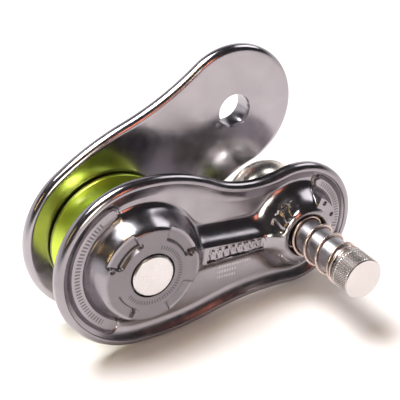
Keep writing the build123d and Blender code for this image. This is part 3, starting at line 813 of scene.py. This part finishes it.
frontBores = {
    "openR": 14.0, "axleLip": ((13.6, 0), (13.35, 0.1), (13.3, 0.35)),      # radius, depth below the boss top
    "seatR": 13.3, "seatH": 13.24, "axleR": 10.02,
    "spigotR": 14.02, "spigotH": 7.0, "pocketR": 13.0, "pocketH": 8.0, "pinR": 10.15,
    "pinLip": ((13.62, 0.25), (13.28, 0.48), (13.06, 0.85), (13.0, 1.3)),
}
boreSteps, span = cheekForm["boreSteps"], cheekForm["axleToPin"]


def lipSteps(lip, top):
    return [(radius, top - depth) for radius, depth in lip]


def makeFrontCheek(form, bores):
    pinTop = form["thickness"] + form["frontPinRise"]
    axleBore = lipSteps(bores["axleLip"], form["sheaveTop"])
    axleBore += [(bores["seatR"], bores["seatH"]), (bores["axleR"], bores["seatH"]), (bores["axleR"], 0)]
    pinBore = lipSteps(bores["pinLip"], pinTop)
    pinBore += [(bores["pocketR"], bores["pocketH"]), (bores["pinR"], bores["pocketH"]),
                (bores["pinR"], bores["spigotH"]), (bores["spigotR"], bores["spigotH"])]
    return makeCheek("front_cheek_forging", form, quarterPath(0, bores["openR"], boreSteps, 1),
                     quarterPath(span, bores["spigotR"], boreSteps, -1)[::-1], axleBore, pinBore,
                     frontHeight, cheekPlace(-tilt, frontInnerY, -1))


print("stage: front cheek")
frontCheek = makeFrontCheek(cheekForm, frontBores)
finishPiece(frontCheek, "front_frame", markedShadedMetal, "cheek", "front_cheek")

rearBores = {
    "openR": 16.6, "axleLip": ((16.3, 0), (16.05, 0.1), (16.0, 0.35)), "pocketR": 16.0, "pocketH": 13.44,
    "bushR": 12.52, "keyR": 10.25, "keyWallR": 10.09625, "keyLip": 0.3, "notchHalf": 2.4, "notchEnd": 15.5,
}


def keyholePath(centre, bores, steps):
    # upper half of the keyhole, from its crown to the end of its notch
    radius, half, end = bores["keyR"], bores["notchHalf"], bores["notchEnd"]
    meet = sqrt(radius ** 2 - half ** 2)
    crown = asin(meet / radius)
    path = [(centre - radius * sin(a), radius * cos(a)) for a in np.linspace(0, crown, steps)]
    path += [(centre - d, half) for d in np.linspace(meet, end - half, 8)[1:-1]]
    path += [(centre - (end - half) - half * sin(a), half * cos(a)) for a in np.linspace(0, pi / 2, 9)]
    path[-1] = (centre - end, 0)
    return path


def makeRearCheek(form, bores):
    pinTop = form["thickness"] + form["rearPinRise"]
    axleBore = lipSteps(bores["axleLip"], form["sheaveTop"])
    axleBore += [(bores["pocketR"], bores["pocketH"]), (bores["bushR"], bores["pocketH"]), (bores["bushR"], 0)]
    keyhole = [(bores["keyWallR"], pinTop - bores["keyLip"]), (bores["keyWallR"], bores["keyLip"])]
    return makeCheek("rear_cheek_forging", form, quarterPath(0, bores["openR"], boreSteps, 1),
                     keyholePath(span, bores, boreSteps)[::-1], axleBore, keyhole,
                     rearHeight, cheekPlace(rise, rearInnerY, 1))


print("stage: rear cheek")
rearCheek = makeRearCheek(cheekForm, rearBores)
finishPiece(rearCheek, "swing_cheek", cheekMetal, "cheek", "rear_cheek")

sheaveForm = {"edgeR": 37.7, "halfW": 14.95, "rootR": 26.5, "grooveR": 10.2, "grooveHalf": 60, "boreR": 21.02,
              "hubStep": (3, 4), "rimStep": (3.6, 2.8), "lipY": 12.353, "faceInset": 0.8, "corner": 0.7}


def makeSheave(form):
    # bore, stepped side face and lip, the rope groove, then the same side turned over
    bore, edge, half = form["boreR"], form["edgeR"], form["halfW"]
    face = half - form["faceInset"]
    side = [(bore, -half), (bore + form["hubStep"][0], -half), (bore + form["hubStep"][1], -face),
            (edge - form["rimStep"][0], -face), (edge - form["rimStep"][1], -half), (edge, -half),
            (edge, -form["lipY"])]
    groove = [pointAt(form["grooveR"], 180 + angle, form["rootR"] + form["grooveR"])
              for angle in np.linspace(form["grooveHalf"], -form["grooveHalf"], 25)]
    profile = side + groove + [(r, -y) for r, y in side[::-1]]
    return spinProfile("sheave_wheel", profile, sheaveCentre, steps=160, corner=form["corner"], segments=3)


print("stage: sheave")
finishPiece(makeSheave(sheaveForm), "sheave_set", limeMetal, "sheave", "sheave")

axleForm = {"headR": 12.3, "shankR": 10.0, "seatY": -29.89, "dish": 0.25, "dishR": (7.5, 10.6), "chamfer": 0.8,
            "grooveR": 9.1, "groove": (33.35, 34.53), "endChamfer": 0.6,
            "centreHole": ((2.6, 0), (1.2, 1.4), (0, 1.6))}


def makeAxle(form):
    low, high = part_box("axle")
    headY, endY, head, shank = low.y / mm, high.y / mm, form["headR"], form["shankR"]
    seatY, grooveR, (grooveFrom, grooveTo) = form["seatY"], form["grooveR"], form["groove"]
    chamfer, endChamfer, (dishR, flatR) = form["chamfer"], form["endChamfer"], form["dishR"]
    profile = [(0, headY + form["dish"]), (dishR, headY + form["dish"] * 0.6), (flatR, headY),
               (head - chamfer, headY), (head, headY + chamfer), (head, seatY), (shank, seatY),
               (shank, grooveFrom), (grooveR, grooveFrom), (grooveR, grooveTo), (shank, grooveTo),
               (shank, endY - endChamfer), (shank - endChamfer, endY)]
    profile += [(r, endY - depth) for r, depth in form["centreHole"]]
    return spinProfile("axle_turned", profile, sheaveCentre, steps=128, corner=0.15)


print("stage: axle, pin and knob")
finishPiece(makeAxle(axleForm), "front_frame", axleMetal, "axle", "axle")

pinForm = {"radius": 9.95, "knobSeatR": 8.0, "tipChamfer": 1.2, "centreHole": ((3.0, 0), (1.4, 1.6), (0, 1.9))}
pinStartY, pinEndY = (corner.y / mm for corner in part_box("locking_pin"))
knobFaceY, knobBackY = (corner.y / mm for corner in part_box("pin_knob"))


def makePin(form):
    radius, seat, chamfer = form["radius"], form["knobSeatR"], form["tipChamfer"]
    profile = [(0, pinStartY), (seat, pinStartY), (seat, knobBackY), (radius, knobBackY),
               (radius, pinEndY - chamfer), (radius - chamfer, pinEndY)]
    profile += [(r, pinEndY - depth) for r, depth in form["centreHole"]]
    return spinProfile("locking_pin_shank", profile, pinCentre, steps=128, corner=0.12)


finishPiece(makePin(pinForm), "pin_set", pinMetal, "pin", "locking_pin")

knobForm = {"radius": 12.1, "edge": 0.75, "around": 48, "rows": 7, "samples": 5, "depth": 0.62,
            "faceDish": 0.18, "faceR": 10.5, "faceDrop": 0.02, "boreR": 8.02, "pinGap": 0.04}


def makeKnob(form):
    radius, edge = form["radius"], form["edge"]
    sideTop, sideEnd = knobFaceY + edge, knobBackY - edge
    floorY = pinStartY - form["pinGap"]
    profile = [(0, knobFaceY + form["faceDish"]), (form["faceR"], knobFaceY + form["faceDrop"]),
               (radius - edge, knobFaceY)]
    profile += [(radius, y) for y in np.linspace(sideTop, sideEnd, form["rows"] * form["samples"] + 1)]
    profile += [(radius - edge, knobBackY), (form["boreR"], knobBackY), (form["boreR"], floorY), (0, floorY)]
    piece = spinProfile("pin_knob_knurled", profile, pinCentre, form["around"] * form["samples"], corner=0)
    knurl(piece, form, sideTop, sideEnd)
    smoothByAngle(piece, 16)
    return piece


def knurl(piece, form, top, end):
    # two crossing helical cuts leave rows of small pyramids
    for vertex in piece.data.vertices:
        x, y, z = vertex.co.x - pinPoint.x, vertex.co.y / mm, vertex.co.z - pinPoint.z
        if hypot(x, z) / mm < form["radius"] - 0.01 or not top - 0.01 < y < end + 0.01:
            continue
        angle = atan2(z, x)
        turn = angle / tau * form["around"]
        along = (y - top) / (end - top) * form["rows"]
        first, second = (turn + along) % 1, (turn - along) % 1
        cut = max(abs(first - 0.5), abs(second - 0.5)) * 2
        ease = min(1, min(y - top, end - y) / 0.5)
        r = (form["radius"] - form["depth"] * (cut * ease + (1 - ease) * 0.35)) * mm
        vertex.co.x, vertex.co.z = pinPoint.x + r * cos(angle), pinPoint.z + r * sin(angle)


finishPiece(makeKnob(knobForm), "pin_set", knobMetal, "knob", "pin_knob")

bushForm = {"waistR": 18.5, "flangeR": 24.8, "straight": 14.0, "lip": 1.6, "spigotR": 14.0, "spigotEnd": 6.9,
            "boreR": 10.15, "keyDepth": 24}
bushRearY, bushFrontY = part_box("attachment_bush")[1].y / mm, frontInnerY / mm


def flare(startR, startY, endR, endY, count=14):
    # arc that leaves the waist straight along the bush and ends at the flange
    climb, run = endR - startR, abs(endY - startY)
    radius = (climb ** 2 + run ** 2) / (2 * climb)
    way = 1 if endY > startY else -1
    total = asin(min(1, run / radius))
    return [(startR + radius * (1 - cos(t)), startY + way * radius * sin(t))
            for t in np.linspace(0, total, count)]


def makeBush(form):
    bore, waist, flange, spigot = form["boreR"], form["waistR"], form["flangeR"], form["spigotR"]
    rearLipY, frontLipY = bushRearY - form["lip"], bushFrontY + form["lip"]
    spigotY = bushFrontY - form["spigotEnd"]
    profile = [(bore, bushRearY), (flange, bushRearY), (flange, rearLipY)]
    profile += flare(waist, form["straight"] / 2, flange, rearLipY)[::-1][1:]
    profile += flare(waist, -form["straight"] / 2, flange, frontLipY)
    profile += [(flange, bushFrontY), (spigot, bushFrontY), (spigot, spigotY), (bore, spigotY)]
    return spinProfile("attachment_bush_spool", profile, pinCentre, steps=160, corner=0.35, segments=3)


def cutKeyway(piece, reach, halfWidth, depth):
    # slot for the cross pin, from the rear end towards the sheave
    deselectAll()
    bpy.ops.mesh.primitive_cube_add(size=1)
    tool = bpy.context.object
    tool.scale = (reach * mm, depth * mm, 2 * halfWidth * mm)
    tool.rotation_euler = (0, tilt, 0)
    towards = Vector((-cos(tilt), 0, sin(tilt)))
    middle = Vector((pinPoint.x, (bushRearY - depth / 2 + 0.5) * mm, pinPoint.z))
    tool.location = middle + towards * reach * mm / 2
    cut = piece.modifiers.new("keyway", "BOOLEAN")
    cut.operation = "DIFFERENCE"
    cut.object = tool
    cut.solver = "EXACT"
    makeActive(piece)
    bpy.ops.object.modifier_apply(modifier=cut.name)
    bpy.data.objects.remove(tool)


print("stage: bush")
bush = makeBush(bushForm)
cutKeyway(bush, rearBores["notchEnd"], rearBores["notchHalf"], bushForm["keyDepth"])
smoothByAngle(bush)
finishPiece(bush, "front_frame", bushMetal, "bush", "attachment_bush")

springForm = {"wireR": 0.8, "meanR": 11.2, "seatTurns": 1.0, "knobTurns": 1.8, "openTurns": 4.0,
              "closedPitch": 1.66, "sides": 12, "perTurn": 44, "startAngle": 200, "blend": 0.35, "endGap": 0.05}
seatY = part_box("spring_seat")[0].y / mm
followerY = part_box("spring_follower")[1].y / mm


def makeSpring(form, startY, endY):
    # a wire swept along a helix whose pitch opens between the closed end turns
    length = startY - endY - 2 * (form["wireR"] + form["endGap"])
    closed = (form["seatTurns"] + form["knobTurns"]) * form["closedPitch"]
    openPitch = (length - closed) / form["openTurns"]
    total = form["seatTurns"] + form["openTurns"] + form["knobTurns"]
    count = int(total * form["perTurn"])
    turns = np.linspace(0, total, count + 1)
    share = inside(form["seatTurns"] - turns, form["blend"])
    share = share * inside(turns - form["seatTurns"] - form["openTurns"], form["blend"])
    pitch = form["closedPitch"] + (openPitch - form["closedPitch"]) * share
    travel = np.concatenate([[0], np.cumsum((pitch[1:] + pitch[:-1]) / 2 * np.diff(turns))])
    travel *= length / travel[-1]
    points, faces = [], []
    sides = form["sides"]
    for turn, run in zip(turns, travel):
        angle = radians(form["startAngle"]) + turn * tau
        out = Vector((cos(angle), 0, sin(angle)))
        middle = Vector((pinPoint.x / mm, startY - form["wireR"] - form["endGap"] - run, pinPoint.z / mm))
        middle += out * form["meanR"]
        for j in range(sides):
            around = tau * j / sides
            points.append((middle + form["wireR"] * (out * cos(around) + Vector((0, sin(around), 0)))) * mm)
    for start in range(0, count * sides, sides):
        for j in range(sides):
            other = (j + 1) % sides
            faces.append((start + j, start + other, start + sides + other, start + sides + j))
    faces.append(tuple(range(sides)))
    faces.append(tuple(count * sides + j for j in reversed(range(sides))))
    piece = meshObject("pin_spring_coil", points, (), faces)
    outwardNormals(piece)
    bevelCorners(piece, 0.2, 2, 60)
    smoothByAngle(piece, 40)
    return piece, length + 2 * form["wireR"]


print("stage: spring")
spring, springLength = makeSpring(springForm, seatY, followerY)
finishPiece(spring, "front_frame", springMetal, "spring", "pin_spring")
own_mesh(spring)

# finishes of the pieces that keep their shape
nodeFinish = {
    "hinge_bush": bronzeMetal, "axle_washer": bearingMetal, "friction_washer": bearingMetal,
    "retaining_ring": springMetal, "bearing_inner_ring": bearingMetal, "bearing_outer_ring": bearingMetal,
    "bearing_rollers": bearingMetal, "bearing_cage": cagePlastic, "bearing_seal_front": sealRubber,
    "bearing_seal_rear": sealRubber, "thrust_washer_front": washerPlastic, "thrust_washer_rear": washerPlastic,
    "locking_lug": pinMetal, "spring_follower": bearingMetal, "spring_seat": bronzeMetal,
    "bush_dowel": bearingMetal,
}
print("stage: inner pieces")
for nodeName, finish in nodeFinish.items():
    for slot in frame["nodes"][nodeName].material_slots:
        slot.material = finish

stageForm = {"size": 1.6, "drop": 0.0002, "tones": ((0.96, 0.915, 0.90), (0.95, 0.90, 0.885))}
print("stage: floor, light and camera")
deselectAll()
bpy.ops.mesh.primitive_plane_add(size=stageForm["size"], location=(0, 0, groundZ - stageForm["drop"]))
floorPlane = bpy.context.object
floorPlane.name = "studio_floor"
floorMaterial, tree, shader = newMaterial("paleFloor", Roughness=0.6)
grain = groupNode(tree, grainGroup, Cloud_Scale=3.0)
tree.links.new(cloudTone(tree, grain, *stageForm["tones"]), shader.inputs["Base Color"])
floorPlane.data.materials.append(floorMaterial)

# each lamp: place, width and height, watts, colour; all look at the target
lightForm = {
    "key": ((-0.30, 0.30, 1.42), (0.8, 0.8), 34.0, (0.98, 0.99, 1.0)),
    "side": ((-0.24, -1.10, 0.40), (0.34, 0.46), 3.8, (1.0, 0.93, 0.78)),
    "right": ((1.0, 0.10, 0.80), (0.6, 0.6), 3.2, (1.0, 0.99, 0.98)),
    "warm": ((-0.33, -0.22, 1.22), (0.06, 0.35), 0.9, (1.0, 0.70, 0.27)),
    "warmLow": ((-1.12, -0.22, 0.62), (0.06, 0.35), 0.7, (1.0, 0.70, 0.27)),
    "ember": ((0.19, -0.92, 0.40), (0.12, 0.30), 0.6, (1.0, 0.28, 0.16)),
}
target = Vector((0.05, 0, 0))
for name, (where, size, power, colour) in lightForm.items():
    lamp = bpy.data.lights.new(name, "AREA")
    lamp.shape = "RECTANGLE"
    lamp.size, lamp.size_y = size
    lamp.energy = power
    lamp.color = colour
    holder = bpy.data.objects.new(name, lamp)
    scene.collection.objects.link(holder)
    holder.location = where
    holder.rotation_euler = (target - Vector(where)).to_track_quat("-Z", "Y").to_euler()

# white sheet behind the block and low all round, a dark room above and behind the camera
worldForm = {"lean": -0.42, "room": (0.02, 0.34), "horizon": (-0.05, 0.02),
             "sheetTone": (1.02, 0.985, 0.985), "roomTone": (0.045, 0.043, 0.045)}


def easedRange(tree, value, limits):
    node = addNode(tree, "ShaderNodeMapRange", interpolation_type="SMOOTHSTEP")
    node.inputs["From Min"].default_value, node.inputs["From Max"].default_value = limits
    tree.links.new(value, node.inputs["Value"])
    return node.outputs[0]


world = bpy.data.worlds.new("studio")
scene.world = world
world.use_nodes = True
tree = world.node_tree
background = tree.nodes["Background"]
place = addNode(tree, "ShaderNodeTexCoord")
split = addNode(tree, "ShaderNodeSeparateXYZ")
tree.links.new(place.outputs["Generated"], split.inputs[0])
leaning = mathNode(tree, "MULTIPLY", split.outputs["Y"], worldForm["lean"])
height = mathNode(tree, "ADD", split.outputs["Z"], leaning)
dark = mathNode(tree, "MULTIPLY", easedRange(tree, height, worldForm["room"]),
                easedRange(tree, split.outputs["Z"], worldForm["horizon"]))
tree.links.new(mixColours(tree, dark, worldForm["sheetTone"], worldForm["roomTone"]), background.inputs[0])

cameraForm = {"azimuth": -27.833, "elevation": 31.451, "roll": -4.387, "distance": 0.68056,
              "lens": 107.39, "target": (0.050683, 0, 0.011235)}
az, el, roll = (radians(cameraForm[label]) for label in ("azimuth", "elevation", "roll"))
back = Vector((sin(az) * cos(el), -cos(az) * cos(el), sin(el)))
right = (-back).cross(Vector((0, 0, 1))).normalized()
up = right.cross(-back)
right, up = right * cos(roll) + up * sin(roll), up * cos(roll) - right * sin(roll)
cameraData = bpy.data.cameras.new("camera")
cameraData.lens = cameraForm["lens"]
cameraData.sensor_width = 36
camera = bpy.data.objects.new("camera", cameraData)
scene.collection.objects.link(camera)
eye = Vector(cameraForm["target"]) + back * cameraForm["distance"]
camera.matrix_world = Matrix(((right.x, up.x, back.x, eye.x), (right.y, up.y, back.y, eye.y),
                              (right.z, up.z, back.z, eye.z), (0, 0, 0, 1)))
scene.camera = camera
scene.view_settings.view_transform = "Standard"

print("stage: done")
